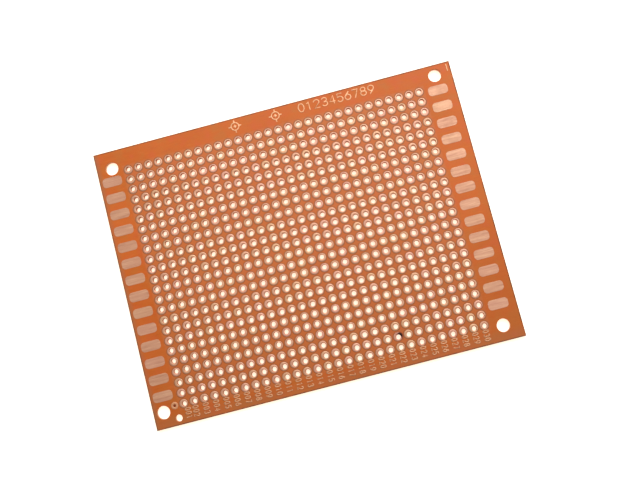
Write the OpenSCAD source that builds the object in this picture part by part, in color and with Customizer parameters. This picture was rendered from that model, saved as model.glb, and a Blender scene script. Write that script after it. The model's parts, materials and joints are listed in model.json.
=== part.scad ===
// Single-sided prototype board: a punched sheet of paper laminate that carries
// round copper pads on a square grid and a column of solder pads at each end.
// The origin is the middle of the plain back. X runs along the board, Y across
// it towards the first row of pads, and Z up through the copper face.

/* [Board] */
// Length of the sheet, along the rows of pads
board_l = 90.3; // [60:0.1:180]
// Width of the sheet, across the rows of pads
board_w = 68.9; // [45:0.1:140]
// Thickness of the paper laminate
board_t = 1.2; // [0.8:0.1:3.2]
// Thickness of the copper foil
copper_t = 0.035; // [0.018:0.001:0.105]

/* [Component grid] */
// Distance from one component hole to the next
pitch = 2.54; // [2.5:0.01:5.08]
// Diameter of a component hole
hole_d = 1.1; // [0.7:0.05:1.4]
// Diameter of the round pad about a component hole
pad_d = 2.1; // [1.7:0.05:2.5]
// Bare strip between the edge of the sheet and the first row of pads
top_strip = 4.65; // [3:0.05:15]
// Least strip for the column numbers between the last row and the edge
bottom_strip = 3.6; // [3:0.05:15]
// Least gap between a round pad and what lies beside the grid
field_gap = 1.05; // [0.3:0.05:5]

/* [Punching] */
// Rows of component holes that one stroke of the punch makes
rows_per_stroke = 3; // [1:1:12]
// Shift along X of the holes of the first stroke, and of every second one after it
stroke_a_dx = 0; // [-0.2:0.01:0.2]
// Shift along Y of the holes of the same strokes
stroke_a_dy = 0.18; // [-0.2:0.01:0.2]
// Shift along X of the holes of the strokes between them
stroke_b_dx = 0.16; // [-0.2:0.01:0.2]
// Shift along Y of the holes of the strokes between them
stroke_b_dy = -0.1; // [-0.2:0.01:0.2]

/* [End pads] */
// Length of an end pad, along X
end_pad_l = 4.85; // [3:0.05:8]
// Width of an end pad, along Y
end_pad_w = 2.4; // [1.8:0.1:3.6]
// Radius of an end pad's corners
end_pad_r = 0.85; // [0.1:0.05:0.9]
// Distance from one end pad to the next
end_pad_pitch = 4.13; // [3.9:0.01:6]
// Bare laminate between the left edge and its end pads
left_margin = 0.75; // [0.5:0.05:4]
// Bare laminate between the right edge and its end pads
right_margin = 1.95; // [0.5:0.05:4]
// Gap between the top left corner hole and the first end pad below it
left_start_gap = 0.4; // [0.3:0.05:4]
// Gap between the top right corner hole and the first end pad below it
right_start_gap = 0.9; // [0.3:0.05:4]

/* [Corner holes] */
// Diameter of the four fixing holes
corner_hole_d = 3.2; // [2.2:0.1:4]
// Top left hole, in from the left edge
top_left_x = 3.8; // [3:0.05:8]
// Top left hole, down from the top edge
top_left_y = 4.4; // [3:0.05:8]
// Top right hole, in from the right edge
top_right_x = 4.2; // [3:0.05:8]
// Top right hole, down from the top edge
top_right_y = 2.65; // [2.5:0.05:8]
// Bottom left hole, in from the left edge
bottom_left_x = 2.5; // [2.25:0.05:8]
// Bottom left hole, up from the bottom edge
bottom_left_y = 3.85; // [3:0.05:5.5]
// Bottom right hole, in from the right edge
bottom_right_x = 4.5; // [3:0.05:8]
// Bottom right hole, up from the bottom edge
bottom_right_y = 3.7; // [3:0.05:8]

/* [Index marks] */
// Diameter of the small index hole beside the bottom left corner hole
index_hole_d = 1.7; // [1:0.1:2]
// Bare laminate between the corner hole and the index hole
index_hole_gap = 1.5; // [0.8:0.05:3]
// Bare laminate between the index hole and the bottom edge
index_hole_margin = 0.85; // [0.6:0.05:2]
// Outer diameter of the undrilled ring ahead of the last row
index_ring_d = 1.8; // [1.4:0.05:2.2]
// Diameter of the bare spot in the middle of that ring
index_ring_bare_d = 0.7; // [0.4:0.05:1]
// Gap between the ring and the first pad of the last row, and its least gap to the rest
index_ring_gap = 0.3; // [0.2:0.05:1]

/* [Hidden] */
// Facets of a full circle where only a mesh is drawn.
$fn = 48;

left_edge = -board_l / 2;
right_edge = board_l / 2;
top_edge = board_w / 2;
bottom_edge = -board_w / 2;

corner_hole_r = corner_hole_d / 2;

// The strips beside the grid hold the end pads, the corner holes and the index ring.
left_strip = max(
    left_margin + end_pad_l + field_gap,
    top_left_x + corner_hole_r + field_gap,
    bottom_left_x + corner_hole_r + index_ring_gap + index_ring_d + index_ring_gap);
right_strip = max(
    right_margin + end_pad_l + field_gap,
    top_right_x + corner_hole_r + field_gap,
    bottom_right_x + corner_hole_r + field_gap);
first_column_x = left_edge + left_strip + pad_d / 2;
last_column_limit = right_edge - right_strip - pad_d / 2;
columns = floor((last_column_limit - first_column_x) / pitch) + 1;

// The grid starts below the top strip and ends above the strip for the numbers.
first_row_y = top_edge - top_strip - pad_d / 2;
last_row_limit = bottom_edge + bottom_strip + pad_d / 2;
rows = floor((first_row_y - last_row_limit) / pitch) + 1;
last_row_y = first_row_y - (rows - 1) * pitch;

top_left_hole = [left_edge + top_left_x, top_edge - top_left_y];
top_right_hole = [right_edge - top_right_x, top_edge - top_right_y];
bottom_left_hole = [left_edge + bottom_left_x, bottom_edge + bottom_left_y];
bottom_right_hole = [right_edge - bottom_right_x, bottom_edge + bottom_right_y];

// The index hole keeps its distances from the bottom edge and from the corner hole.
index_hole_y = bottom_edge + index_hole_margin + index_hole_d / 2;
index_hole_reach = corner_hole_r + index_hole_gap + index_hole_d / 2;
index_hole_drop = bottom_left_hole.y - index_hole_y;
index_hole_x = bottom_left_hole.x + sqrt(pow(index_hole_reach, 2) - pow(index_hole_drop, 2));

index_ring_x = first_column_x - pad_d / 2 - index_ring_gap - index_ring_d / 2;

// Centre of the pad in column i of row j, both counted from 0 at the top left.
function pad_centre(i, j) = [first_column_x + i * pitch, first_row_y - j * pitch];

// Shift that the stroke which punched row j gave to its holes.
function punch_shift(j) = floor(j / rows_per_stroke) % 2 == 0
    ? [stroke_a_dx, stroke_a_dy]
    : [stroke_b_dx, stroke_b_dy];

// Name of the node that holds row j.
function row_name(j) = str("pad_row_", j + 1 < 10 ? "0" : "", j + 1);

// Middles, from the top down, of the end pads that fit between two levels.
function end_pad_places(x, upper_y, lower_y) =
    let (first_y = upper_y - end_pad_w / 2)
    let (count = floor((first_y - end_pad_w / 2 - lower_y) / end_pad_pitch) + 1)
    [for (k = [0 : count - 1]) [x, first_y - k * end_pad_pitch]];

// The left end pads stop above the corner hole and the index ring, the right ones above the hole.
left_end_pads = end_pad_places(
    left_edge + left_margin + end_pad_l / 2,
    top_left_hole.y - corner_hole_r - left_start_gap,
    max(bottom_left_hole.y + corner_hole_r + left_start_gap,
        last_row_y + index_ring_d / 2 + index_ring_gap));
right_end_pads = end_pad_places(
    right_edge - right_margin - end_pad_l / 2,
    top_right_hole.y - corner_hole_r - right_start_gap,
    bottom_right_hole.y + corner_hole_r + right_start_gap);

// One punched component hole.
module component_hole(i, j) {
    translate(pad_centre(i, j) + punch_shift(j)) circle(d = hole_d);
}

// Copper foil of a given outline, lying on the laminate.
module foil() {
    color([0.86, 0.61, 0.47]) translate([0, 0, board_t]) linear_extrude(copper_t) children();
}

// Rounded outline of one end pad about its middle.
module end_pad_outline() {
    straight_l = end_pad_l - 2 * end_pad_r;
    straight_w = end_pad_w - 2 * end_pad_r;
    square([end_pad_l, straight_w], center = true);
    square([straight_l, end_pad_w], center = true);
    for (x = [-1, 1], y = [-1, 1])
        translate([x * straight_l / 2, y * straight_w / 2]) circle(r = end_pad_r);
}

// The punched laminate sheet.
module board() {
    color([0.80, 0.43, 0.22]) linear_extrude(board_t) difference() {
        square([board_l, board_w], center = true);
        for (i = [0 : columns - 1], j = [0 : rows - 1]) component_hole(i, j);
        for (p = [top_left_hole, top_right_hole, bottom_left_hole, bottom_right_hole])
            translate(p) circle(d = corner_hole_d);
        translate([index_hole_x, index_hole_y]) circle(d = index_hole_d);
    }
}

// One row of separate round pads, punched with the sheet.
module pad_row(j) {
    foil() for (i = [0 : columns - 1]) difference() {
        translate(pad_centre(i, j)) circle(d = pad_d);
        component_hole(i, j);
    }
}

// The solder pads along the left edge.
module end_pads_left() {
    foil() for (p = left_end_pads) translate(p) end_pad_outline();
}

// The solder pads along the right edge.
module end_pads_right() {
    foil() for (p = right_end_pads) translate(p) end_pad_outline();
}

// The ring ahead of the last row, which is never punched through.
module index_ring() {
    foil() translate([index_ring_x, last_row_y]) difference() {
        circle(d = index_ring_d);
        circle(d = index_ring_bare_d);
    }
}

board();
end_pads_left();
end_pads_right();
index_ring();
for (j = [0 : rows - 1])
    pad_row(j);
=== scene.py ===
"""Looks of the prototype board: a punched paper-laminate sheet, its etched copper pads and its
plain column numbers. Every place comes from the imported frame. Lengths are in metres."""

import json
import math

import bpy
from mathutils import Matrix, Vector, noise

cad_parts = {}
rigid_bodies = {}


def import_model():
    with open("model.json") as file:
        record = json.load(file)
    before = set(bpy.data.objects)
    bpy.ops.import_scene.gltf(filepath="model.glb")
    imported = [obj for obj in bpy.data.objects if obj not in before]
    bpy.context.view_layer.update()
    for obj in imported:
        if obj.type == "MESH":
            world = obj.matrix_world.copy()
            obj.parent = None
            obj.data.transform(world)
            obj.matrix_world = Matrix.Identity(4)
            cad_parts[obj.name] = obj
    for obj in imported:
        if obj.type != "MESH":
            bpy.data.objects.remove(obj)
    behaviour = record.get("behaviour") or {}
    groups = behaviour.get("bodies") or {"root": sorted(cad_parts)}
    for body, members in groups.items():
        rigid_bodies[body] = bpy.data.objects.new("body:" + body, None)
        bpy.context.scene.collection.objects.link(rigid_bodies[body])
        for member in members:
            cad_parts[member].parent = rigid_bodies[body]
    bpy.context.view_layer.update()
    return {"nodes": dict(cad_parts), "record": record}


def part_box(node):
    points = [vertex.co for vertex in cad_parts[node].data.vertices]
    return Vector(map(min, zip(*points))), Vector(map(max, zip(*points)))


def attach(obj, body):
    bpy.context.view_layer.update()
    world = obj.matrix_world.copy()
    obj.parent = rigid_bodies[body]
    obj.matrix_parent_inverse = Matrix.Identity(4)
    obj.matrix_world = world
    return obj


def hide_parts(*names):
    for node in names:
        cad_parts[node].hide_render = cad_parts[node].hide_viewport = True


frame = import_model()

MM = 0.001


# ---------------------------------------------------------------- sizes that the frame gives

MOUNTS = {mount["name"]: mount for mount in frame["record"]["mounts"]}
ROW_NODES = sorted(name for name in frame["nodes"] if name.startswith("pad_row_"))
FIXING_HOLES = [name for name in MOUNTS if name.startswith(("corner_hole", "index_hole"))]

sheet_low, sheet_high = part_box("board")
first_low, first_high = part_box(ROW_NODES[0])
second_low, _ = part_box(ROW_NODES[1])
last_low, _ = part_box(ROW_NODES[-1])

laminate_top = sheet_high.z
foil = first_high.z - laminate_top
pad_r = (first_high.y - first_low.y) / 2
pitch = first_low.y - second_low.y
rows = len(ROW_NODES)
columns = round((first_high.x - first_low.x - 2 * pad_r) / pitch) + 1
first_pad = Vector((first_low.x + pad_r, first_low.y + pad_r, laminate_top))
last_row_y = last_low.y + pad_r

# Rows of holes that one stroke of the punch makes.
ROWS_PER_STROKE = 3


def hole_centre(name):
    """Where the axis of a stated hole meets the copper face."""
    x, y, _ = MOUNTS[name]["pos_m"]
    return Vector((x, y, laminate_top))


def hole_radius(name):
    """Radius of a stated hole."""
    return MOUNTS[name]["dims"]["r_mm"] * MM


lead_r = hole_radius("lead_hole_first_row_first_column")
# The shift of the punch in the first stroke, and in the last, which is of the other kind.
shift_a = hole_centre("lead_hole_first_row_first_column") - first_pad
shift_b = hole_centre("lead_hole_last_row_first_column") - Vector(
    (first_pad.x, last_row_y, laminate_top)
)


def pad_centre(column, row):
    """Middle of a round pad on the copper face, counted from 0 at the top left."""
    return first_pad + Vector((column * pitch, -row * pitch, 0))


def lead_hole_centre(column, row):
    """Middle of the hole that the punch made in that pad."""
    second_kind = row // ROWS_PER_STROKE % 2
    return pad_centre(column, row) + (shift_b if second_kind else shift_a)


# ---------------------------------------------------------------- node trees


class Graph:
    """Fills a node tree. Each call adds one node, sets it and links what it is given."""

    def __init__(self, tree):
        self.tree = tree

    def feed(self, socket, value):
        if isinstance(value, bpy.types.NodeSocket):
            self.tree.links.new(value, socket)
        else:
            socket.default_value = value

    def add(self, kind, inputs=None, **settings):
        node = self.tree.nodes.new(kind)
        for name, value in settings.items():
            setattr(node, name, value)
        for key, value in (inputs or {}).items():
            self.feed(node.inputs[key], value)
        return node

    def math(self, operation, *values):
        node = self.add("ShaderNodeMath", operation=operation)
        for socket, value in zip(node.inputs, values):
            self.feed(socket, value)
        return node.outputs[0]

    def vector(self, operation, *values):
        node = self.add("ShaderNodeVectorMath", operation=operation)
        for socket, value in zip(node.inputs, values):
            self.feed(socket, value)
        single = operation in ("LENGTH", "DISTANCE", "DOT_PRODUCT")
        return node.outputs["Value" if single else "Vector"]

    def combine(self, x, y, z):
        return self.add("ShaderNodeCombineXYZ", {"X": x, "Y": y, "Z": z}).outputs[0]

    def split(self, vector):
        return self.add("ShaderNodeSeparateXYZ", {0: vector}).outputs

    def ramp(self, value, low, high, to_low=0.0, to_high=1.0):
        """A smooth step of value between low and high."""
        node = self.add("ShaderNodeMapRange", interpolation_type="SMOOTHSTEP")
        for key, part in zip(("Value", "From Min", "From Max", "To Min", "To Max"),
                             (value, low, high, to_low, to_high)):
            self.feed(node.inputs[key], part)
        return node.outputs["Result"]


def geometry_tree(name, sizes):
    """An empty Geometry Nodes tree with a named input for each size, and its input sockets."""
    tree = bpy.data.node_groups.new(name, "GeometryNodeTree")
    tree.interface.new_socket("Geometry", in_out="INPUT", socket_type="NodeSocketGeometry")
    for label, kind in sizes.items():
        tree.interface.new_socket(label, in_out="INPUT", socket_type="NodeSocket" + kind)
    tree.interface.new_socket("Geometry", in_out="OUTPUT", socket_type="NodeSocketGeometry")
    graph = Graph(tree)
    return graph, graph.add("NodeGroupInput").outputs


def close_tree(graph, geometry, material):
    """Ends a tree: instances become one mesh, which takes the material."""
    real = graph.add("GeometryNodeRealizeInstances", {"Geometry": geometry}).outputs[0]
    done = graph.add("GeometryNodeSetMaterial", {"Geometry": real, "Material": material})
    graph.add("NodeGroupOutput", {"Geometry": done.outputs[0]})
    return graph.tree


def grown(name, tree, values, mesh=None):
    """Runs a tree on a mesh and returns its result as a plain mesh object."""
    seed = bpy.data.objects.new(name + "_seed", mesh or bpy.data.meshes.new(name + "_seed"))
    bpy.context.scene.collection.objects.link(seed)
    modifier = seed.modifiers.new(name, "NODES")
    modifier.node_group = tree
    for item in tree.interface.items_tree:
        if item.in_out == "INPUT" and item.name in values:
            modifier[item.identifier] = values[item.name]
    depsgraph = bpy.context.evaluated_depsgraph_get()
    result = bpy.data.meshes.new_from_object(seed.evaluated_get(depsgraph))
    result.name = name
    result.materials.clear()
    result.materials.append(values["Material"])
    bpy.data.objects.remove(seed)
    piece = bpy.data.objects.new(name, result)
    bpy.context.scene.collection.objects.link(piece)
    return piece


def lofted(name, outlines):
    """A closed mesh through outlines of equal length, from the top one down to the lowest."""
    count = len(outlines[0])
    verts = [point for outline in outlines for point in outline]
    faces = [list(range(count)), [len(verts) - 1 - i for i in range(count)]]
    for start in range(0, len(verts) - count, count):
        for i in range(count):
            a, b = start + i, start + (i + 1) % count
            faces.append([b, a, a + count, b + count])
    mesh = bpy.data.meshes.new(name)
    mesh.from_pydata(verts, [], faces)
    return mesh


def place(piece, slot_name, *replaced):
    """Lets a finished piece ride on the board and stand for its CAD nodes."""
    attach(piece, "root")
    if replaced:
        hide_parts(*replaced)


# ---------------------------------------------------------------- camera

LENS_MM = 50.62
CAMERA_PLACE = Vector((9.32, -24.65, 216.43)) * MM
# Lean of the view from straight down, and the turn of the board in it.
CAMERA_TURN = [math.radians(angle) for angle in (5.93, 3.06, -14.50)]


def add_camera():
    """Looks down on the copper face from a little off the square."""
    data = bpy.data.cameras.new("camera")
    data.lens = LENS_MM
    data.clip_start = 10 * MM
    data.clip_end = 10
    camera = bpy.data.objects.new("camera", data)
    camera.location = CAMERA_PLACE
    camera.rotation_euler = CAMERA_TURN
    bpy.context.scene.collection.objects.link(camera)
    bpy.context.scene.camera = camera


add_camera()


# ---------------------------------------------------------------- materials


def linear(red, green, blue):
    """A colour given as it shows on a screen, 0 to 255, as the linear one that shaders use."""
    def channel(value):
        share = value / 255
        return share / 12.92 if share <= 0.04045 else ((share + 0.055) / 1.055) ** 2.4

    return (channel(red), channel(green), channel(blue), 1.0)


def new_material(name):
    """A material with one principled shader, its graph and that shader's inputs."""
    material = bpy.data.materials.new(name)
    material.use_nodes = True
    material.node_tree.nodes.clear()
    graph = Graph(material.node_tree)
    shader = graph.add("ShaderNodeBsdfPrincipled")
    graph.add("ShaderNodeOutputMaterial", {"Surface": shader.outputs[0]})
    return material, graph, shader.inputs


def object_place(graph):
    """Place on the board, in metres."""
    return graph.add("ShaderNodeTexCoord").outputs["Object"]


def mottle(graph, place, scale, detail=2.0, roughness=0.5, stretch=(1, 1, 1)):
    """Noise from 0 to 1 with that many features to the metre, stretched along the axes."""
    mapped = graph.add("ShaderNodeMapping", {"Vector": place, "Scale": stretch}).outputs[0]
    node = graph.add("ShaderNodeTexNoise", {
        "Vector": mapped, "Scale": scale, "Detail": detail, "Roughness": roughness})
    return node.outputs["Fac"]


def blend(graph, share, first, second):
    """The first colour, or the second where share is 1."""
    node = graph.add("ShaderNodeMix", data_type="RGBA")
    graph.feed(node.inputs["Factor"], share)
    graph.feed(node.inputs[6], first)
    graph.feed(node.inputs[7], second)
    return node.outputs[2]


def bump(graph, shader, height, distance, strength):
    """Makes the surface look raised by height times distance."""
    node = graph.add("ShaderNodeBump", {"Height": height, "Distance": distance,
                                        "Strength": strength})
    graph.feed(shader["Normal"], node.outputs[0])


# The scorched spot lies on the rim of one hole, towards its upper right.
SCORCHED_COLUMN, SCORCHED_ROW = 21, 22
SCORCH_CENTRE = lead_hole_centre(SCORCHED_COLUMN, SCORCHED_ROW) + Vector((0.56, 0.50, 0)) * MM
# The crescent bends back by this times the square of the distance along it, in metres.
SCORCH_BEND = 420.0
CHAR = linear(38, 16, 8)
SINGED = linear(120, 44, 22)


def scorch_shares(graph, place):
    """How charred and how singed the surface is, from 0 to 1, with a ragged edge."""
    ragged = mottle(graph, place, 3500, detail=3)
    away = graph.vector("SUBTRACT", place, tuple(SCORCH_CENTRE))
    # The spot is a crescent, so it reaches further round the hole than away from it.
    outward = Vector((1, 1, 0)).normalized()
    radial = graph.vector("DOT_PRODUCT", away, tuple(outward))
    round_hole = graph.vector("DOT_PRODUCT", away, (outward.y, -outward.x, 0.0))
    curl = graph.math("MULTIPLY", SCORCH_BEND, graph.math("POWER", round_hole, 2.0))
    bent = graph.math("ADD", radial, curl)
    stretched = graph.combine(bent, graph.math("MULTIPLY", round_hole, 0.5), 0.0)
    edge = graph.math("ADD", graph.vector("LENGTH", stretched),
                      graph.math("MULTIPLY", ragged, 0.22 * MM))
    charred = graph.ramp(edge, 0.34 * MM, 0.52 * MM, 1.0, 0.0)
    singed = graph.ramp(edge, 0.46 * MM, 0.8 * MM, 0.65, 0.0)
    return charred, singed


ring_low, ring_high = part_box("index_ring")
RING_CENTRE = Vector(((ring_low.x + ring_high.x) / 2, (ring_low.y + ring_high.y) / 2, laminate_top))


def from_grid(graph, x, y):
    """How far a place lies from the nearest pad's middle, and beyond the whole grid's edge."""
    def steps(coordinate, start, direction):
        along = graph.math("MULTIPLY", graph.math("SUBTRACT", coordinate, start), direction / pitch)
        return graph.math("SUBTRACT", along, graph.math("ROUND", along))

    def beyond(coordinate, middle, reach):
        off_middle = graph.math("ABSOLUTE", graph.math("SUBTRACT", coordinate, middle))
        return graph.math("SUBTRACT", off_middle, reach)

    across = graph.combine(steps(x, first_pad.x, 1), steps(y, first_pad.y, -1), 0.0)
    from_pad = graph.math("MULTIPLY", graph.vector("LENGTH", across), pitch)
    half_x, half_y = (columns - 1) * pitch / 2, (rows - 1) * pitch / 2
    outside = graph.math("MAXIMUM", beyond(x, first_pad.x + half_x, half_x + pad_r),
                         beyond(y, (first_pad.y + last_row_y) / 2, half_y + pad_r))
    return from_pad, outside


def paper_colour(graph, place, cloud, fibres):
    """The colour of the clean laminate: clouds, fibres, specks and patches."""
    specks = mottle(graph, place, 5200, detail=2)
    patches = mottle(graph, place, 320, detail=3)
    colour = blend(graph, graph.ramp(cloud, 0.3, 0.7), linear(208, 102, 30), linear(202, 97, 22))
    colour = blend(graph, graph.ramp(fibres, 0.52, 0.75, 0, 0.35), colour, linear(222, 118, 48))
    colour = blend(graph, graph.ramp(fibres, 0.48, 0.25, 0, 0.35), colour, linear(180, 82, 18))
    colour = blend(graph, graph.ramp(specks, 0.62, 0.8, 0, 0.4), colour, linear(160, 74, 20))
    colour = blend(graph, graph.ramp(patches, 0.5, 0.7, 0, 0.4), colour, linear(212, 92, 46))
    return blend(graph, graph.ramp(patches, 0.5, 0.3, 0, 0.4), colour, linear(190, 112, 40))


def margin_colour(graph, place, x, y, cloud, colour):
    """Painted shade in dark dashes along the sheared edges, and margins that are greyer at the left and
    the bottom.
    """
    dashes = mottle(graph, place, 700, detail=3)
    to_edge = graph.math("MINIMUM",
                         graph.math("SUBTRACT", sheet_high.x, graph.math("ABSOLUTE", x)),
                         graph.math("SUBTRACT", sheet_high.y, graph.math("ABSOLUTE", y)))
    # Painted shade: a dark band along the sheared edges, broken into dashes.
    rim = graph.ramp(to_edge, 0.1 * MM, 0.4 * MM, 1.0, 0.0)
    colour = blend(graph, graph.math("MULTIPLY", rim, graph.ramp(dashes, 0.35, 0.6, 0.35, 0.9)),
                   colour, linear(84, 52, 30))
    to_left = graph.math("SUBTRACT", x, sheet_low.x)
    to_bottom = graph.math("SUBTRACT", y, sheet_low.y)
    greyed = graph.math("MAXIMUM", graph.ramp(to_left, 0.3 * MM, 1.6 * MM, 0.45, 0.0),
                        graph.ramp(to_bottom, 1.0 * MM, 3.4 * MM, 0.3, 0.0))
    return blend(graph, graph.math("MULTIPLY", greyed, graph.ramp(cloud, 0.3, 0.6, 0.6, 1.0)),
                 colour, linear(156, 106, 72))


def laminate_material():
    """Phenolic paper: orange-brown, faintly fibrous, dull where it was cut, with painted shade along
    its sheared edges.
    """
    material, graph, shader = new_material("phenolic_paper")
    place = object_place(graph)
    x, y, z = graph.split(place)
    cloud = mottle(graph, place, 60, detail=3)
    fibres = mottle(graph, place, 900, detail=4, roughness=0.65, stretch=(0.35, 1.6, 1))
    colour = paper_colour(graph, place, cloud, fibres)

    # Inside the grid the copper side is duller and browner, and a painted shadow darkens the laminate
    # in a ring round each pad.
    from_pad, outside = from_grid(graph, x, y)
    on_front = graph.ramp(z, laminate_top - 0.2 * MM, laminate_top - 0.05 * MM)
    in_grid = graph.math("MULTIPLY", on_front, graph.ramp(outside, 0.1 * MM, 0.5 * MM, 1.0, 0.0))
    colour = blend(graph, graph.math("MULTIPLY", in_grid, 0.5), colour, linear(199, 113, 63))
    painted_pad_shadow = graph.ramp(from_pad, pad_r + 0.06 * MM, pad_r + 0.26 * MM, 0.62, 0.0)
    colour = blend(graph, graph.math("MULTIPLY", painted_pad_shadow, in_grid), colour, linear(118, 74, 46))

    # The sheet is a little duller towards the column numbers.
    duller = graph.ramp(y, sheet_high.y * 0.3, sheet_low.y, 0.0, 0.32)
    colour = blend(graph, duller, colour, linear(160, 84, 34))
    colour = margin_colour(graph, place, x, y, cloud, colour)

    # The plain back is paler and greyer.
    on_back = graph.ramp(z, sheet_low.z + 0.05 * MM, sheet_low.z + 0.01 * MM, 0.0, 0.7)
    colour = blend(graph, on_back, colour, linear(168, 122, 88))

    # Cut walls show the brown core of the paper.
    normal = graph.split(graph.add("ShaderNodeNewGeometry").outputs["Normal"])
    wall = graph.ramp(graph.math("ABSOLUTE", normal[2]), 0.35, 0.75, 1.0, 0.0)
    layers = mottle(graph, place, 2500, detail=3, stretch=(0.2, 0.2, 3))
    core = blend(graph, graph.ramp(layers, 0.35, 0.65), linear(214, 160, 122), linear(194, 136, 96))
    colour = blend(graph, wall, colour, core)

    # The scorched spot, and a dark spot in the middle of the index ring.
    charred, singed = scorch_shares(graph, place)
    down_the_hole = graph.ramp(z, 0.3 * laminate_top, laminate_top)
    colour = blend(graph, graph.math("MULTIPLY", down_the_hole, singed), colour, SINGED)
    colour = blend(graph, graph.math("MULTIPLY", down_the_hole, charred), colour, CHAR)
    from_ring = graph.vector("DISTANCE", place, tuple(RING_CENTRE))
    dark_ring_middle = graph.math("MULTIPLY", on_front, graph.ramp(from_ring, 0.18 * MM, 0.4 * MM, 1.0, 0.0))
    colour = blend(graph, dark_ring_middle, colour, linear(118, 52, 28))
    graph.feed(shader["Base Color"], colour)

    dull = graph.math("ADD", graph.ramp(fibres, 0.3, 0.7, 0.36, 0.5), graph.math("MULTIPLY", wall, 0.3))
    graph.feed(shader["Roughness"], dull)
    shader["Specular IOR Level"].default_value = 0.25
    torn = graph.math("MULTIPLY", layers, graph.math("MULTIPLY", wall, 4.0))
    bump(graph, shader, graph.math("ADD", fibres, torn), 0.012 * MM, 0.8)
    return material


def foil_material(name, light, dark, metallic, scratched, streaks, worn, varied):
    """Copper foil under a clear rosin coat, with a duller rim to each pad.

    scratched stretches the brushed lines and streaks is their strength, worn is how much the
    foil has browned near the column numbers, and varied is how much pads differ in colour.
    """
    material, graph, shader = new_material(name)
    place = object_place(graph)
    x, y, _ = graph.split(place)
    tint = graph.add("ShaderNodeAttribute", attribute_name="tint").outputs["Fac"]
    rim = graph.add("ShaderNodeAttribute", attribute_name="rim").outputs["Fac"]
    stain = mottle(graph, place, 420, detail=4, roughness=0.6)
    fine = mottle(graph, place, 2600, detail=3)
    mix = graph.math("ADD", graph.math("MULTIPLY", tint, 0.2), graph.math("MULTIPLY", stain, 0.8))
    colour = blend(graph, graph.ramp(mix, 0.2, 0.9), light, dark)
    colour = blend(graph, graph.ramp(fine, 0.55, 0.8, 0, 0.35), colour, dark)
    brushed = mottle(graph, place, 1100, detail=3, roughness=0.7, stretch=scratched)
    colour = blend(graph, graph.ramp(brushed, 0.5, 0.7, 0, streaks), colour, linear(232, 182, 142))
    colour = blend(graph, graph.ramp(brushed, 0.5, 0.3, 0, streaks), colour, linear(178, 118, 90))
    colour = blend(graph, graph.ramp(rim, 0.6, 1.0, 0, 0.4), colour, dark)
    colour = blend(graph, graph.ramp(tint, 0.62, 1.0, 0, varied), colour, linear(226, 184, 126))
    colour = blend(graph, graph.ramp(tint, 0.38, 0.0, 0, varied), colour, linear(228, 158, 148))

    # Foil is more worn towards the column numbers, and tarnished at the top left.
    worn_here = graph.ramp(y, 0.0, sheet_low.y, 0, worn)
    colour = blend(graph, worn_here, colour, linear(150, 90, 55))
    tarnish = graph.math("MULTIPLY", graph.ramp(x, 0.4 * sheet_low.x, 0.9 * sheet_low.x, 0, 1),
                         graph.ramp(y, 0.2 * sheet_low.y, sheet_high.y, 0, 0.3))
    colour = blend(graph, tarnish, colour, linear(170, 118, 90))

    # Char is dull and no longer metal.
    charred, singed = scorch_shares(graph, place)
    colour = blend(graph, singed, colour, SINGED)
    colour = blend(graph, charred, colour, CHAR)
    graph.feed(shader["Base Color"], colour)
    graph.feed(shader["Metallic"], graph.ramp(charred, 0.0, 1.0, metallic, 0.0))
    rough = graph.ramp(stain, 0.3, 0.7, 0.34, 0.5)
    graph.feed(shader["Roughness"], graph.math("MAXIMUM", rough, charred))
    lines = mottle(graph, place, 900, detail=3, roughness=0.7, stretch=scratched)
    bump(graph, shader, graph.math("ADD", lines, fine), 0.006 * MM, 0.8)
    return material


EVEN = (1, 1, 1)
# Brushed lines run along X on the end pads.
ALONG_X = (0.14, 1.9, 1)

LAMINATE = laminate_material()
PAD_FOIL = foil_material(
    "pad_foil", light=linear(226, 168, 136), dark=linear(208, 149, 117), metallic=0.3,
    scratched=EVEN, streaks=0.4, worn=0.1, varied=0.3)
END_FOIL = foil_material(
    "end_pad_foil", light=linear(211, 153, 120), dark=linear(202, 146, 114), metallic=0.25,
    scratched=ALONG_X, streaks=0.6, worn=0.0, varied=0.13)
LEGEND_FOIL = foil_material(
    "legend_foil", light=linear(252, 186, 136), dark=linear(240, 166, 114), metallic=0.2,
    scratched=EVEN, streaks=0.4, worn=0.4, varied=0.0)


# ---------------------------------------------------------------- the punched sheet

# Distance between the points that a sheared edge is drawn with.
EDGE_STEP = 0.4 * MM
# Depth and width of the rounding that the shears leave on the copper side.
ROLLOVER = 0.05 * MM
# Share of the thickness that the shears cut before the rest breaks away, and the share that
# lies square again next to the back.
CUT_SHARE, FOOT_SHARE = 0.45, 0.2
# Most that the broken part of a sheared edge lies back, and the size of its bites.
BREAK_DEPTH = 0.09 * MM
BITE_SIZE = 0.8 * MM
# Depth of the rounding where the punch enters a hole, and of the crater where it leaves.
PUNCH_ROLLOVER = 0.03 * MM
PUNCH_CRATER = 0.1 * MM
# Width of a component hole's crater for each unit of its depth.
CRATER_SPREAD = 0.6
HOLE_SIDES = 24


def ring_around(low, high, step):
    """Points round a rectangle, with the outward direction at each."""
    corners = [Vector((x, y)) for x, y in ((low.x, low.y), (high.x, low.y),
                                           (high.x, high.y), (low.x, high.y))]
    points = []
    for k, corner in enumerate(corners):
        side = corners[(k + 1) % 4] - corner
        count = round(side.length / step)
        out = Vector((side.y, -side.x)).normalized()
        before = corner - corners[k - 1]
        corner_out = out + Vector((before.y, -before.x)).normalized()
        points.append((corner, corner_out))
        points += [(corner + side * i / count, out) for i in range(1, count)]
    return points


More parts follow.
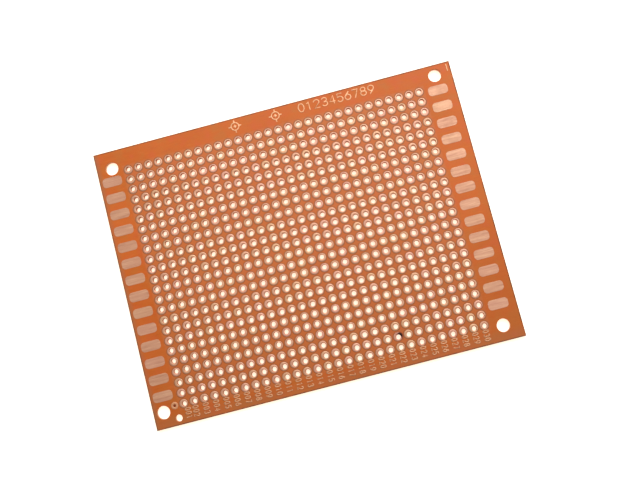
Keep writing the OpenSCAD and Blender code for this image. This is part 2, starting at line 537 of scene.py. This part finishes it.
def sheared_blank():
    """The sheet before it is punched: cut clean below the rollover, then torn to the back."""
    ring = ring_around(sheet_low, sheet_high, EDGE_STEP)
    thickness = laminate_top - sheet_low.z
    # Each level: its height, how far it lies back, and the share of the bites that it shows.
    levels = [
        (laminate_top, ROLLOVER, 0.0),
        (laminate_top - ROLLOVER, 0.0, 0.0),
        (laminate_top - CUT_SHARE * thickness, 0.0, 0.2),
        (sheet_low.z + FOOT_SHARE * thickness, BREAK_DEPTH * 0.3, 0.7),
        (sheet_low.z, BREAK_DEPTH * 0.3, 0.7),
    ]
    outlines = []
    for z, inset, torn in levels:
        outline = []
        for point, out in ring:
            ragged = abs(noise.noise(Vector((point.x, point.y, z)) / BITE_SIZE))
            outline.append((*(point - out * (inset + torn * BREAK_DEPTH * ragged)), z))
        outlines.append(outline)
    return lofted("sheared_blank", outlines)


def hole_places():
    """One vertex on the back for each hole, which carries the hole's radius."""
    holes = [(lead_hole_centre(i, j), lead_r) for i in range(columns) for j in range(rows)]
    holes += [(hole_centre(name), hole_radius(name)) for name in FIXING_HOLES]
    mesh = bpy.data.meshes.new("hole_places")
    mesh.from_pydata([(p.x, p.y, sheet_low.z) for p, _ in holes], [], [])
    radii = mesh.attributes.new("radius", "FLOAT", "POINT")
    radii.data.foreach_set("value", [radius for _, radius in holes])
    return bpy.data.objects.new("hole_places", mesh)


def punching_tree():
    """Punches every hole: a small rollover where the punch enters, a crater where it leaves."""
    graph, given = geometry_tree("punched holes", {
        "Hole Places": "Object", "Thickness": "Float", "Rollover": "Float",
        "Crater": "Float", "Sides": "Int", "Material": "Material"})
    places = graph.add("GeometryNodeObjectInfo", {"Object": given["Hole Places"]})
    radius = graph.add("GeometryNodeInputNamedAttribute", {"Name": "radius"}, data_type="FLOAT")
    widen = graph.combine(radius.outputs[0], radius.outputs[0], 1.0)
    twice = graph.math("MULTIPLY", given["Thickness"], 2.0)

    def cutter(shape, base):
        on_holes = graph.add("GeometryNodeInstanceOnPoints", {
            "Points": places.outputs["Geometry"], "Instance": shape, "Scale": widen}).outputs[0]
        real = graph.add("GeometryNodeRealizeInstances", {"Geometry": on_holes}).outputs[0]
        return graph.add("GeometryNodeSetPosition", {
            "Geometry": real, "Offset": graph.combine(0.0, 0.0, base)}).outputs[0]

    def cone(top, bottom, depth):
        return graph.add("GeometryNodeMeshCone", {
            "Vertices": given["Sides"], "Radius Top": top, "Radius Bottom": bottom,
            "Depth": depth}).outputs["Mesh"]

    # The cones are of radius 1, and each hole scales them by its own radius. Each reaches as
    # far outside the sheet as inside it, so it is half as flared at the face as at its end.
    flare = graph.math("ADD", graph.math("MULTIPLY", given["Rollover"], 2 / lead_r), 1.0)
    spread = graph.math("ADD", graph.math("MULTIPLY", given["Crater"], 2 * CRATER_SPREAD / lead_r), 1.0)
    bore = cutter(cone(1.0, 1.0, twice), graph.math("MULTIPLY", given["Thickness"], -0.5))
    entry = cutter(cone(flare, 1.0, graph.math("MULTIPLY", given["Rollover"], 2.0)),
                   graph.math("SUBTRACT", given["Thickness"], given["Rollover"]))
    crater = cutter(cone(1.0, spread, graph.math("MULTIPLY", given["Crater"], 2.0)),
                    graph.math("MULTIPLY", given["Crater"], -1.0))
    punched = graph.add("GeometryNodeMeshBoolean", {"Mesh 1": given["Geometry"]},
                        operation="DIFFERENCE", solver="MANIFOLD")
    for part in (bore, entry, crater):
        graph.feed(punched.inputs["Mesh 2"], part)
    return close_tree(graph, punched.outputs[0], given["Material"])


def add_sheet():
    """The laminate sheet, sheared and punched."""
    places = hole_places()
    sheet = grown("laminate_sheet", punching_tree(), {
        "Hole Places": places, "Thickness": laminate_top - sheet_low.z,
        "Rollover": PUNCH_ROLLOVER, "Crater": PUNCH_CRATER, "Sides": HOLE_SIDES,
        "Material": LAMINATE}, sheared_blank())
    bpy.data.objects.remove(places)
    place(sheet, "laminate", "board")


add_sheet()


# ---------------------------------------------------------------- the round pads


def round_pad_tree():
    """Rows and columns of foil rings, each holed where the punch struck and not at its middle."""
    graph, given = geometry_tree("round pads", {
        "First Pad": "Vector", "Pitch": "Float", "Columns": "Int", "Rows": "Int",
        "Pad Radius": "Float", "Hole Radius": "Float", "Foil": "Float", "Etched Slope": "Float",
        "Rows per Stroke": "Int", "Shift A": "Vector", "Shift B": "Vector",
        "Sides": "Int", "Seed": "Int", "Material": "Material"})
    span_x = graph.math("MULTIPLY", graph.math("SUBTRACT", given["Columns"], 1), given["Pitch"])
    span_y = graph.math("MULTIPLY", graph.math("SUBTRACT", given["Rows"], 1), given["Pitch"])
    grid = graph.add("GeometryNodeMeshGrid", {
        "Size X": span_x, "Size Y": span_y,
        "Vertices X": given["Columns"], "Vertices Y": given["Rows"]}).outputs["Mesh"]
    to_middle = graph.combine(graph.math("MULTIPLY", span_x, 0.5),
                              graph.math("MULTIPLY", span_y, -0.5), 0.0)
    centres = graph.add("GeometryNodeSetPosition", {
        "Geometry": grid,
        "Offset": graph.vector("ADD", given["First Pad"], to_middle)}).outputs[0]

    # The row of a pad tells which kind of stroke holed it.
    here = graph.add("GeometryNodeInputPosition").outputs[0]
    below = graph.vector("SUBTRACT", given["First Pad"], here)
    row = graph.math("ROUND", graph.math("DIVIDE", graph.split(below)[1], given["Pitch"]))
    stroke = graph.math("FLOOR", graph.math("DIVIDE", row, given["Rows per Stroke"]))
    second_kind = graph.math("FLOORED_MODULO", stroke, 2.0)
    shift = graph.add("ShaderNodeMix", data_type="VECTOR")
    graph.feed(shift.inputs[0], second_kind)
    graph.feed(shift.inputs[4], given["Shift A"])
    graph.feed(shift.inputs[5], given["Shift B"])
    chance = graph.add("FunctionNodeRandomValue", {"Seed": given["Seed"]}, data_type="FLOAT")

    def stored(geometry, name, kind, value):
        return graph.add("GeometryNodeStoreNamedAttribute", {
            "Geometry": geometry, "Name": name, "Value": value}, data_type=kind).outputs[0]

    centres = stored(centres, "hole_shift", "FLOAT_VECTOR", shift.outputs[1])
    centres = stored(centres, "tint", "FLOAT", chance.outputs[1])

    # The section of a ring, drawn from its outer foot towards the hole and up along -Y.
    width = graph.math("SUBTRACT", given["Hole Radius"], given["Pad Radius"])
    slope = given["Etched Slope"]
    down = graph.math("MULTIPLY", given["Foil"], -1.0)
    section = graph.add("GeometryNodeCurvePrimitiveQuadrilateral", {
        "Point 1": graph.combine(0.0, 0.0, 0.0),
        "Point 2": graph.combine(width, 0.0, 0.0),
        "Point 3": graph.combine(graph.math("ADD", width, slope), down, 0.0),
        "Point 4": graph.combine(graph.math("MULTIPLY", slope, -1.0), down, 0.0)},
        mode="POINTS").outputs[0]
    # Points 1 and 2 of the section, counted from 0, are the ones beside the hole.
    order = graph.add("GeometryNodeInputIndex").outputs[0]
    from_hole = graph.math("ABSOLUTE", graph.math("SUBTRACT", order, 1.5))
    section = stored(section, "inner", "FLOAT", graph.math("LESS_THAN", from_hole, 1.0))
    circle = graph.add("GeometryNodeCurvePrimitiveCircle", {
        "Resolution": given["Sides"], "Radius": given["Pad Radius"]}, mode="RADIUS").outputs[0]
    circle = graph.add("GeometryNodeSetCurveNormal", {"Curve": circle}, mode="Z_UP").outputs[0]
    ring = graph.add("GeometryNodeCurveToMesh", {
        "Curve": circle, "Profile Curve": section}).outputs[0]

    rings = graph.add("GeometryNodeInstanceOnPoints", {"Points": centres, "Instance": ring}).outputs[0]
    rings = graph.add("GeometryNodeRealizeInstances", {"Geometry": rings}).outputs[0]
    inner = graph.add("GeometryNodeInputNamedAttribute", {"Name": "inner"}, data_type="FLOAT")
    shifted = graph.add("GeometryNodeInputNamedAttribute", {"Name": "hole_shift"},
                        data_type="FLOAT_VECTOR")
    offset = graph.add("ShaderNodeVectorMath", {
        0: shifted.outputs[0], "Scale": inner.outputs[0]}, operation="SCALE").outputs[0]
    rings = graph.add("GeometryNodeSetPosition", {"Geometry": rings, "Offset": offset}).outputs[0]
    rings = stored(rings, "rim", "FLOAT", graph.math("SUBTRACT", 1.0, inner.outputs[0]))
    return close_tree(graph, rings, given["Material"])


ROUND_PADS = round_pad_tree()
# How far the foot of the foil stands out past its top edge.
PAD_SLOPE = 0.04 * MM
PAD_SIDES = 24
# Radius of the bare spot in the index ring.
RING_BARE_R = 0.35 * MM


def add_round_pads():
    """All the round pads of the grid."""
    pads = grown("round_pads", ROUND_PADS, {
        "First Pad": first_pad, "Pitch": pitch, "Columns": columns, "Rows": rows,
        "Pad Radius": pad_r, "Hole Radius": lead_r, "Foil": foil, "Etched Slope": PAD_SLOPE,
        "Rows per Stroke": ROWS_PER_STROKE, "Shift A": shift_a, "Shift B": shift_b,
        "Sides": PAD_SIDES, "Seed": 4, "Material": PAD_FOIL})
    place(pads, "pad_copper", *ROW_NODES)


def add_index_ring():
    """The ring ahead of the last row, with a bare spot in place of a hole."""
    ring = grown("index_ring_foil", ROUND_PADS, {
        "First Pad": RING_CENTRE, "Pitch": pitch, "Columns": 1, "Rows": 1,
        "Pad Radius": (ring_high.x - ring_low.x) / 2, "Hole Radius": RING_BARE_R,
        "Foil": foil, "Etched Slope": PAD_SLOPE,
        "Rows per Stroke": 1, "Sides": PAD_SIDES, "Seed": 1, "Material": LEGEND_FOIL})
    place(ring, "pad_copper", "index_ring")


add_round_pads()
add_index_ring()


# ---------------------------------------------------------------- the end pads

# Radius of an end pad's corners, and the steps that round each of them.
END_PAD_R = 0.85 * MM
CORNER_STEPS = 6
# Faces of one solid that lie this close along Y belong together.
TOUCHING = 0.01 * MM


def spans(name):
    """The stretches of Y that the separate solids of a CAD node take up, from the top down."""
    node = frame["nodes"][name]
    levels = [(node.matrix_world @ vertex.co).y for vertex in node.data.vertices]
    reaches = [[levels[i] for i in face.vertices] for face in node.data.polygons]
    found = []
    for low, high in sorted((min(reach), max(reach)) for reach in reaches):
        if found and low < found[-1][1] + TOUCHING:
            found[-1][1] = max(high, found[-1][1])
        else:
            found.append([low, high])
    return found[::-1]


def end_pad_blank(length, width):
    """One end pad about its middle, with the slope that etching leaves at its edge."""
    outlines = []
    for z, inset in ((foil, PAD_SLOPE), (0.0, 0.0)):
        outline = []
        for k, (side_x, side_y) in enumerate(((1, 1), (-1, 1), (-1, -1), (1, -1))):
            for i in range(CORNER_STEPS + 1):
                turn = math.radians(90 * (k + i / CORNER_STEPS))
                reach = END_PAD_R - inset
                outline.append((side_x * (length / 2 - END_PAD_R) + reach * math.cos(turn),
                                side_y * (width / 2 - END_PAD_R) + reach * math.sin(turn), z))
        outlines.append(outline)
    return lofted("end_pad_blank", outlines)


def end_pad_tree():
    """A column of end pads, each with its own shade."""
    graph, given = geometry_tree("end pads", {
        "First Pad": "Vector", "Step": "Vector", "Count": "Int", "Seed": "Int",
        "Material": "Material"})
    line = graph.add("GeometryNodeMeshLine", {
        "Count": given["Count"], "Start Location": given["First Pad"], "Offset": given["Step"]})
    chance = graph.add("FunctionNodeRandomValue", {"Seed": given["Seed"]}, data_type="FLOAT")
    points = graph.add("GeometryNodeStoreNamedAttribute", {
        "Geometry": line.outputs[0], "Name": "tint", "Value": chance.outputs[1]}).outputs[0]
    pads = graph.add("GeometryNodeInstanceOnPoints", {
        "Points": points, "Instance": given["Geometry"]}).outputs[0]
    return close_tree(graph, pads, given["Material"])


END_PADS = end_pad_tree()


def add_end_pads(node, name, seed):
    """The end pads that one CAD node holds."""
    low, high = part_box(node)
    stretches = spans(node)
    width = stretches[0][1] - stretches[0][0]
    first = Vector(((low.x + high.x) / 2, stretches[0][0] + width / 2, laminate_top))
    step = Vector((0, stretches[1][0] - stretches[0][0], 0))
    pads = grown(name, END_PADS, {
        "First Pad": first, "Step": step, "Count": len(stretches), "Seed": seed,
        "Material": END_FOIL}, end_pad_blank(high.x - low.x, width))
    place(pads, "end_pad_copper", node)


add_end_pads("end_pads_left", "left_end_pads", 2)
add_end_pads("end_pads_right", "right_end_pads", 5)


# ---------------------------------------------------------------- numbers and marks


def arc(x, y, radius_x, radius_y, start, end, steps=10):
    """Points along part of an ellipse, between two angles in degrees."""
    turns = [math.radians(start + (end - start) * i / steps) for i in range(steps + 1)]
    return [(x + radius_x * math.cos(turn), y + radius_y * math.sin(turn)) for turn in turns]


# Strokes of the ten figures in a box of width 1 and height 1, about its middle.
FIGURES = [
    [arc(0, 0, 0.5, 0.5, 90, 450, 20)],
    [[(-0.3, 0.3), (0.05, 0.5), (0.05, -0.5)]],
    [arc(0, 0.22, 0.5, 0.28, 170, -30) + [(-0.5, -0.5), (0.5, -0.5)]],
    [arc(0, 0.25, 0.45, 0.25, 160, -104), arc(0, -0.24, 0.5, 0.26, 97, -160)],
    [[(0.25, -0.5), (0.25, 0.5), (-0.5, -0.2), (0.5, -0.2)]],
    [[(0.45, 0.5), (-0.4, 0.5), (-0.45, 0.08)] + arc(0, -0.18, 0.5, 0.32, 130, -160)],
    [[(0.3, 0.5)] + arc(0, -0.18, 0.5, 0.32, 150, 500, 20)],
    [[(-0.5, 0.5), (0.5, 0.5), (-0.15, -0.5)]],
    [arc(0, 0.26, 0.42, 0.24, 270, -90, 16), arc(0, -0.22, 0.5, 0.28, 97, 457, 16)],
    [[(-0.3, -0.5)] + arc(0, 0.18, 0.5, 0.32, 330, 680, 20)],
]


# Ends of a stroke that lie closer than this are one point.
SAME_PLACE = 1e-7


def line_mesh(name, strokes):
    """A mesh of loose edges along the strokes. One that ends where it began is a closed loop."""
    verts, edges = [], []
    for stroke in strokes:
        first, closed = len(verts), math.dist(stroke[0], stroke[-1]) < SAME_PLACE
        points = stroke[:-1] if closed else stroke
        edges += [(first + i, first + i + 1) for i in range(len(points) - 1)]
        edges += [(first + len(points) - 1, first)] if closed else []
        verts += [(x, y, 0) for x, y in points]
    mesh = bpy.data.meshes.new(name)
    mesh.from_pydata(verts, edges, [])
    return mesh


def etched(graph, lines, width, height):
    """Foil ribbons of that width and height that stand on the given lines."""
    curves = graph.add("GeometryNodeMeshToCurve", {"Mesh": lines}).outputs[0]
    curves = graph.add("GeometryNodeSetCurveNormal", {"Curve": curves}, mode="Z_UP").outputs[0]
    section = graph.add("GeometryNodeCurvePrimitiveQuadrilateral", {
        "Width": width, "Height": height}).outputs[0]
    ribbons = graph.add("GeometryNodeCurveToMesh", {
        "Curve": curves, "Profile Curve": section, "Fill Caps": True}).outputs[0]
    joined = graph.add("GeometryNodeMeshBoolean", {"Self Intersection": True},
                       operation="UNION", solver="EXACT")
    graph.feed(joined.inputs["Mesh 2"], ribbons)
    raised = graph.combine(0.0, 0.0, graph.math("MULTIPLY", height, 0.5))
    return graph.add("GeometryNodeSetPosition", {
        "Geometry": joined.outputs[0], "Offset": raised}).outputs[0]


def number_tree():
    """A line of plain numbers that count up, each written with the same number of figures."""
    graph, given = geometry_tree("etched numbers", {
        "Figures": "Collection", "First Number": "Int", "Numbers": "Int", "Places": "Int",
        "Start": "Vector", "Number Step": "Vector", "Figure Step": "Vector",
        "Turn": "Vector", "Figure Size": "Vector", "Line Width": "Float", "Foil": "Float",
        "Material": "Material"})
    figures = graph.add("GeometryNodeCollectionInfo", {
        "Collection": given["Figures"], "Separate Children": True, "Reset Children": True})
    order = graph.add("GeometryNodeInputIndex").outputs[0]
    nth = graph.math("FLOOR", graph.math("DIVIDE", order, given["Places"]))
    place_in = graph.math("FLOORED_MODULO", order, given["Places"])
    number = graph.math("ADD", nth, given["First Number"])
    places_after = graph.math("SUBTRACT", graph.math("SUBTRACT", given["Places"], 1.0), place_in)
    # The small addition keeps a quotient that should be whole from being rounded down.
    quotient = graph.math("DIVIDE", number, graph.math("POWER", 10.0, places_after))
    whole = graph.math("FLOOR", graph.math("ADD", quotient, 0.001))
    digit = graph.math("FLOORED_MODULO", whole, 10.0)

    def stepped(step, count):
        return graph.add("ShaderNodeVectorMath", {0: step, "Scale": count},
                         operation="SCALE").outputs[0]

    at = graph.vector("ADD", given["Start"], graph.vector(
        "ADD", stepped(given["Number Step"], nth), stepped(given["Figure Step"], place_in)))
    points = graph.add("GeometryNodePoints", {
        "Count": graph.math("MULTIPLY", given["Numbers"], given["Places"]),
        "Position": at}).outputs[0]
    written = graph.add("GeometryNodeInstanceOnPoints", {
        "Points": points, "Instance": figures.outputs[0], "Pick Instance": True,
        "Instance Index": digit, "Rotation": given["Turn"],
        "Scale": given["Figure Size"]}).outputs[0]
    lines = graph.add("GeometryNodeRealizeInstances", {"Geometry": written}).outputs[0]
    ribbons = etched(graph, lines, given["Line Width"], given["Foil"])
    return close_tree(graph, ribbons, given["Material"])


def mark_tree():
    """Foil ribbons on the lines of the mesh that the tree is given."""
    graph, given = geometry_tree("etched marks", {
        "Line Width": "Float", "Foil": "Float", "Material": "Material"})
    ribbons = etched(graph, given["Geometry"], given["Line Width"], given["Foil"])
    return close_tree(graph, ribbons, given["Material"])


def figure_collection():
    """The ten figures as line drawings, for the number tree to pick from."""
    collection = bpy.data.collections.new("figures")
    for value, strokes in enumerate(FIGURES):
        name = f"figure_{value}"
        collection.objects.link(bpy.data.objects.new(name, line_mesh(name, strokes)))
    return collection


# Column numbers: the width of their strokes, the size of a figure, the step to the next figure of
# a number, and how far their first figures lie above the lower edge.
COLUMN_LINE_W = 0.28 * MM
COLUMN_FIGURE_SIZE = Vector((0.55, 1.35, 1)) * MM
COLUMN_FIGURE_STEP = 0.96 * MM
COLUMN_NUMBERS_UP = 3.3 * MM
# The first number stands aside by this much for the index hole.
FIRST_NUMBER_ASIDE = 0.65 * MM

# What lies in the top strip, with its places from the left edge and down from the upper one.
STRIP_LINE_W = 0.3 * MM
STRIP_FIGURE_SIZE = Vector((1.4, 2.05, 1)) * MM
STRIP_FIGURE_STEP = 1.96 * MM
STRIP_NUMBERS_LEFT, STRIP_NUMBERS_DOWN = 52.6 * MM, 1.9 * MM
TARGETS_LEFT = (35.75 * MM, 46.0 * MM)
TARGETS_DOWN = 2.1 * MM
TARGET_R = 0.95 * MM
# Each ray runs from just inside a target's ring outwards, and its cross lies in the middle.
RAY_START, RAY_END = 0.88 * MM, 1.6 * MM
CROSS_REACH = 0.4 * MM
TICK_LEFT, TICK_TOP, TICK_FOOT = 89.4 * MM, 0.6 * MM, 2.35 * MM


def add_numbers():
    """A number under each column, and the ten figures in the top strip."""
    figures = figure_collection()
    tree = number_tree()
    shared = {"Figures": figures, "Foil": foil, "Material": LEGEND_FOIL}
    columns_start = Vector((first_pad.x, sheet_low.y + COLUMN_NUMBERS_UP, laminate_top))
    column = {
        **shared, "Line Width": COLUMN_LINE_W, "Places": 3, "Number Step": Vector((pitch, 0, 0)),
        "Figure Step": Vector((0, -COLUMN_FIGURE_STEP, 0)), "Turn": Vector((0, 0, -math.pi / 2)),
        "Figure Size": COLUMN_FIGURE_SIZE,
    }
    aside = grown("first_column_number", tree, {
        **column, "First Number": 1, "Numbers": 1,
        "Start": columns_start + Vector((FIRST_NUMBER_ASIDE, 0, 0))})
    numbers = grown("column_numbers", tree, {
        **column, "First Number": 2, "Numbers": columns - 1,
        "Start": columns_start + Vector((pitch, 0, 0))})
    strip_start = Vector((sheet_low.x + STRIP_NUMBERS_LEFT, sheet_high.y - STRIP_NUMBERS_DOWN,
                          laminate_top))
    strip = grown("strip_numbers", tree, {
        **shared, "Line Width": STRIP_LINE_W, "First Number": 0, "Numbers": 10, "Places": 1,
        "Start": strip_start, "Number Step": Vector((STRIP_FIGURE_STEP, 0, 0)),
        "Figure Step": Vector((0, 0, 0)), "Turn": Vector((0, 0, 0)),
        "Figure Size": STRIP_FIGURE_SIZE})
    for piece in (aside, numbers, strip):
        place(piece, "legend_copper")
    for figure in list(figures.objects):
        bpy.data.objects.remove(figure)
    bpy.data.collections.remove(figures)


def add_marks():
    """Two plain targets in the top strip and a tick near the right end."""
    strokes = []
    for from_left in TARGETS_LEFT:
        x, y = sheet_low.x + from_left, sheet_high.y - TARGETS_DOWN
        strokes.append(arc(x, y, TARGET_R, TARGET_R, 5, 365, 28))
        for along_x, along_y in ((1, 0), (0, 1), (-1, 0), (0, -1)):
            strokes.append([(x + along_x * RAY_START, y + along_y * RAY_START),
                            (x + along_x * RAY_END, y + along_y * RAY_END)])
        strokes.append([(x - CROSS_REACH, y), (x + CROSS_REACH, y)])
        strokes.append([(x, y - CROSS_REACH), (x, y + CROSS_REACH)])
    tick_x = sheet_low.x + TICK_LEFT
    strokes.append([(tick_x, sheet_high.y - TICK_TOP), (tick_x, sheet_high.y - TICK_FOOT)])
    mesh = line_mesh("mark_lines", strokes)
    for vertex in mesh.vertices:
        vertex.co.z = laminate_top
    marks = grown("strip_marks", mark_tree(), {
        "Line Width": STRIP_LINE_W, "Foil": foil, "Material": LEGEND_FOIL}, mesh)
    place(marks, "legend_copper")


add_numbers()
add_marks()


# ---------------------------------------------------------------- floor and light

# Half the width of the floor, and its gap below the sheet.
FLOOR_HALF = 0.6
FLOOR_GAP = 0.2 * MM
FLOOR_COLOUR = (0.8, 0.78, 0.74, 1)
GLOW_COLOUR = (1.0, 0.82, 0.66, 1)
GLOW_STRENGTH = 0.95
KEY_PLACE = (0.12, 0.28, 0.4)
KEY_WIDTH = 0.5
KEY_WATTS = 2.67
WORLD_STRENGTH = 0.35


def add_floor():
    """A pale table that glows a little, so that its open part shows white."""
    material = bpy.data.materials.new("pale_floor")
    material.use_nodes = True
    material.node_tree.nodes.clear()
    graph = Graph(material.node_tree)
    diffuse = graph.add("ShaderNodeBsdfDiffuse", {"Color": FLOOR_COLOUR})
    glow = graph.add("ShaderNodeEmission", {"Color": GLOW_COLOUR, "Strength": GLOW_STRENGTH})
    lit = graph.add("ShaderNodeAddShader", {0: diffuse.outputs[0], 1: glow.outputs[0]})
    clear = graph.add("ShaderNodeBsdfTransparent")
    behind = graph.add("ShaderNodeNewGeometry").outputs["Backfacing"]
    either = graph.add("ShaderNodeMixShader", {0: behind, 1: lit.outputs[0], 2: clear.outputs[0]})
    graph.add("ShaderNodeOutputMaterial", {"Surface": either.outputs[0]})
    mesh = bpy.data.meshes.new("floor")
    z = sheet_low.z - FLOOR_GAP
    corners = [(-FLOOR_HALF, -FLOOR_HALF, z), (FLOOR_HALF, -FLOOR_HALF, z),
               (FLOOR_HALF, FLOOR_HALF, z), (-FLOOR_HALF, FLOOR_HALF, z)]
    mesh.from_pydata(corners, [], [(0, 1, 2, 3)])
    mesh.materials.append(material)
    floor = bpy.data.objects.new("floor", mesh)
    bpy.context.scene.collection.objects.link(floor)


def add_light(name, place_m, width, watts):
    """A square lamp that points at the middle of the board."""
    data = bpy.data.lights.new(name, "AREA")
    data.shape = "SQUARE"
    data.size = width
    data.energy = watts
    light = bpy.data.objects.new(name, data)
    light.location = place_m
    light.rotation_euler = (-Vector(place_m)).to_track_quat("-Z", "Y").to_euler()
    bpy.context.scene.collection.objects.link(light)


def set_world():
    """A plain white surround and undistorted colours."""
    world = bpy.data.worlds.new("studio")
    world.use_nodes = True
    background = world.node_tree.nodes["Background"]
    background.inputs["Color"].default_value = (1, 1, 1, 1)
    background.inputs["Strength"].default_value = WORLD_STRENGTH
    bpy.context.scene.world = world
    bpy.context.scene.view_settings.view_transform = "Standard"


add_floor()
add_light("soft_key", KEY_PLACE, KEY_WIDTH, KEY_WATTS)
set_world()
